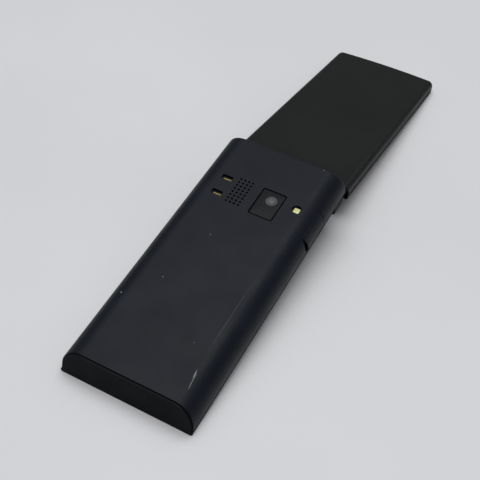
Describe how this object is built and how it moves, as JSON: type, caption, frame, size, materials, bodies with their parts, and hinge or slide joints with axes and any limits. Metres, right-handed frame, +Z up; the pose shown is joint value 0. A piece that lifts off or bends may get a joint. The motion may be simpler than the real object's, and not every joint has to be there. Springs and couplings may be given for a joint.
{
  "type": "clamshell mobile phone",
  "caption": "Folding mobile phone, opened and laid face down: keypad half with camera, light and speaker grid, hinged display lid.",
  "frame": {"origin": "on the table under the middle of the open phone's box", "axes": "+Z up, +Y along the phone from the keypad half to the lid, +X to the right seen from the back"},
  "size_m": [0.051, 0.2316, 0.0282],
  "materials": {
    "soft_touch_back": "soft-touch paint",
    "case_black": "fine moulded texture",
    "lid_paint": "satin paint",
    "frame_black": "satin",
    "window_black": "gloss",
    "lens_grey": "polished",
    "inner_plastic": "moulded",
    "key_plastic": "satin",
    "rubber_grey": "moulded",
    "sheet_film": "film",
    "board_green": "solder mask",
    "sheet_steel": "brushed",
    "battery_wrap": "plain wrap",
    "gold_contact": "plated",
    "light_yellow": "phosphor",
    "panel_glass": "polished",
    "earpiece_black": "mesh"
  },
  "bodies": {
    "base": {"front_case": "case_black", "inner_case": "inner_plastic", "key_mat": "rubber_grey", "dome_sheet": "sheet_film", "main_board": "board_green", "shield_cans": "sheet_steel", "battery": "battery_wrap", "sim_holder": "inner_plastic", "camera_module": "inner_plastic", "speaker": "inner_plastic", "charging_contacts": "gold_contact", "light_led": "light_yellow", "usb_socket": "sheet_steel", "microphone": "rubber_grey", "antenna": "inner_plastic", "motor_can": "sheet_steel", "case_screws": "sheet_steel", "hinge_unit": "sheet_steel", "hinge_pin": "sheet_steel", "base_flex": "sheet_film"},
    "rear_cover": {"rear_cover": "soft_touch_back", "camera_window": "window_black", "camera_lens": "lens_grey", "speaker_mesh": "sheet_steel"},
    "port_cover": {"port_cover": "case_black"},
    "motor_weight": {"motor_weight": "sheet_steel"},
    "lid": {"lid_back": "lid_paint", "lid_frame": "frame_black", "display_window": "window_black", "display_panel": "panel_glass", "display_holder": "sheet_steel", "earpiece": "earpiece_black", "lid_magnet": "sheet_steel", "lid_bumpers": "rubber_grey", "lid_screws": "sheet_steel", "hinge_shaft": "sheet_steel", "lid_flex": "sheet_film"},
    "nav_pad": {"nav_pad": "sheet_film"},
    "nav_ring": {"nav_ring": "key_plastic"},
    "key_star": {"key_star": "key_plastic"},
    "key_0": {"key_0": "key_plastic"},
    "key_hash": {"key_hash": "key_plastic"},
    "key_7": {"key_7": "key_plastic"},
    "key_8": {"key_8": "key_plastic"},
    "key_9": {"key_9": "key_plastic"},
    "key_4": {"key_4": "key_plastic"},
    "key_5": {"key_5": "key_plastic"},
    "key_6": {"key_6": "key_plastic"},
    "key_1": {"key_1": "key_plastic"},
    "key_2": {"key_2": "key_plastic"},
    "key_3": {"key_3": "key_plastic"},
    "call_key": {"call_key": "key_plastic"},
    "clear_key": {"clear_key": "key_plastic"},
    "end_key": {"end_key": "key_plastic"},
    "menu_key": {"menu_key": "key_plastic"},
    "text_key": {"text_key": "key_plastic"},
    "mail_key": {"mail_key": "key_plastic"},
    "web_key": {"web_key": "key_plastic"},
    "centre_key": {"centre_key": "key_plastic"}
  },
  "joints": [
    {"name": "lid_hinge", "type": "hinge", "parent": "base", "child": "lid", "pos_m": [0, -0.00047, 0.01409], "axis": [-1, 0, 0], "range_deg": [0, 165.8]},
    {"name": "rear_cover_lift", "type": "slide", "parent": "base", "child": "rear_cover", "axis": [0, -0.1488, 0.9889], "range_m": [0, 0.014]},
    {"name": "port_cover_swing", "type": "hinge", "parent": "base", "child": "port_cover", "pos_m": [0.0255, -0.01961, 0.01931], "axis": [0, -0.1488, 0.9889], "range_deg": [0, 90]},
    {"name": "motor_spin", "type": "hinge", "parent": "base", "child": "motor_weight", "pos_m": [0.0148, -0.04422, 0.01789], "axis": [1, 0, 0], "continuous": true},
    {"name": "nav_pad_tilt", "type": "hinge", "parent": "base", "child": "nav_pad", "pos_m": [0, -0.03305, 0.01416], "axis": [1, 0, 0], "range_deg": [-0.9, 0.9], "stiffness_Nm_per_rad": 0.32},
    {"name": "nav_ring_tilt", "type": "hinge", "parent": "nav_pad", "child": "nav_ring", "pos_m": [0, -0.03305, 0.01416], "axis": [0, 0.9889, 0.1488], "range_deg": [-0.9, 0.9], "stiffness_Nm_per_rad": 0.32},
    {"name": "key_star_press", "type": "slide", "parent": "base", "child": "key_star", "axis": [0, -0.1488, 0.9889], "range_m": [0, 0.0003], "stiffness_N_per_m": 300},
    {"name": "key_0_press", "type": "slide", "parent": "base", "child": "key_0", "axis": [0, -0.1488, 0.9889], "range_m": [0, 0.0003], "stiffness_N_per_m": 300},
    {"name": "key_hash_press", "type": "slide", "parent": "base", "child": "key_hash", "axis": [0, -0.1488, 0.9889], "range_m": [0, 0.0003], "stiffness_N_per_m": 300},
    {"name": "key_7_press", "type": "slide", "parent": "base", "child": "key_7", "axis": [0, -0.1488, 0.9889], "range_m": [0, 0.0003], "stiffness_N_per_m": 300},
    {"name": "key_8_press", "type": "slide", "parent": "base", "child": "key_8", "axis": [0, -0.1488, 0.9889], "range_m": [0, 0.0003], "stiffness_N_per_m": 300},
    {"name": "key_9_press", "type": "slide", "parent": "base", "child": "key_9", "axis": [0, -0.1488, 0.9889], "range_m": [0, 0.0003], "stiffness_N_per_m": 300},
    {"name": "key_4_press", "type": "slide", "parent": "base", "child": "key_4", "axis": [0, -0.1488, 0.9889], "range_m": [0, 0.0003], "stiffness_N_per_m": 300},
    {"name": "key_5_press", "type": "slide", "parent": "base", "child": "key_5", "axis": [0, -0.1488, 0.9889], "range_m": [0, 0.0003], "stiffness_N_per_m": 300},
    {"name": "key_6_press", "type": "slide", "parent": "base", "child": "key_6", "axis": [0, -0.1488, 0.9889], "range_m": [0, 0.0003], "stiffness_N_per_m": 300},
    {"name": "key_1_press", "type": "slide", "parent": "base", "child": "key_1", "axis": [0, -0.1488, 0.9889], "range_m": [0, 0.0003], "stiffness_N_per_m": 300},
    {"name": "key_2_press", "type": "slide", "parent": "base", "child": "key_2", "axis": [0, -0.1488, 0.9889], "range_m": [0, 0.0003], "stiffness_N_per_m": 300},
    {"name": "key_3_press", "type": "slide", "parent": "base", "child": "key_3", "axis": [0, -0.1488, 0.9889], "range_m": [0, 0.0003], "stiffness_N_per_m": 300},
    {"name": "call_key_press", "type": "slide", "parent": "base", "child": "call_key", "axis": [0, -0.1488, 0.9889], "range_m": [0, 0.0003], "stiffness_N_per_m": 300},
    {"name": "clear_key_press", "type": "slide", "parent": "base", "child": "clear_key", "axis": [0, -0.1488, 0.9889], "range_m": [0, 0.0003], "stiffness_N_per_m": 300},
    {"name": "end_key_press", "type": "slide", "parent": "base", "child": "end_key", "axis": [0, -0.1488, 0.9889], "range_m": [0, 0.0003], "stiffness_N_per_m": 300},
    {"name": "menu_key_press", "type": "slide", "parent": "base", "child": "menu_key", "axis": [0, -0.1488, 0.9889], "range_m": [0, 0.0003], "stiffness_N_per_m": 300},
    {"name": "text_key_press", "type": "slide", "parent": "base", "child": "text_key", "axis": [0, -0.1488, 0.9889], "range_m": [0, 0.0003], "stiffness_N_per_m": 300},
    {"name": "mail_key_press", "type": "slide", "parent": "base", "child": "mail_key", "axis": [0, -0.1488, 0.9889], "range_m": [0, 0.0003], "stiffness_N_per_m": 300},
    {"name": "web_key_press", "type": "slide", "parent": "base", "child": "web_key", "axis": [0, -0.1488, 0.9889], "range_m": [0, 0.0003], "stiffness_N_per_m": 300},
    {"name": "centre_key_press", "type": "slide", "parent": "base", "child": "centre_key", "axis": [0, -0.1488, 0.9889], "range_m": [0, 0.0003], "stiffness_N_per_m": 300}
  ]
}
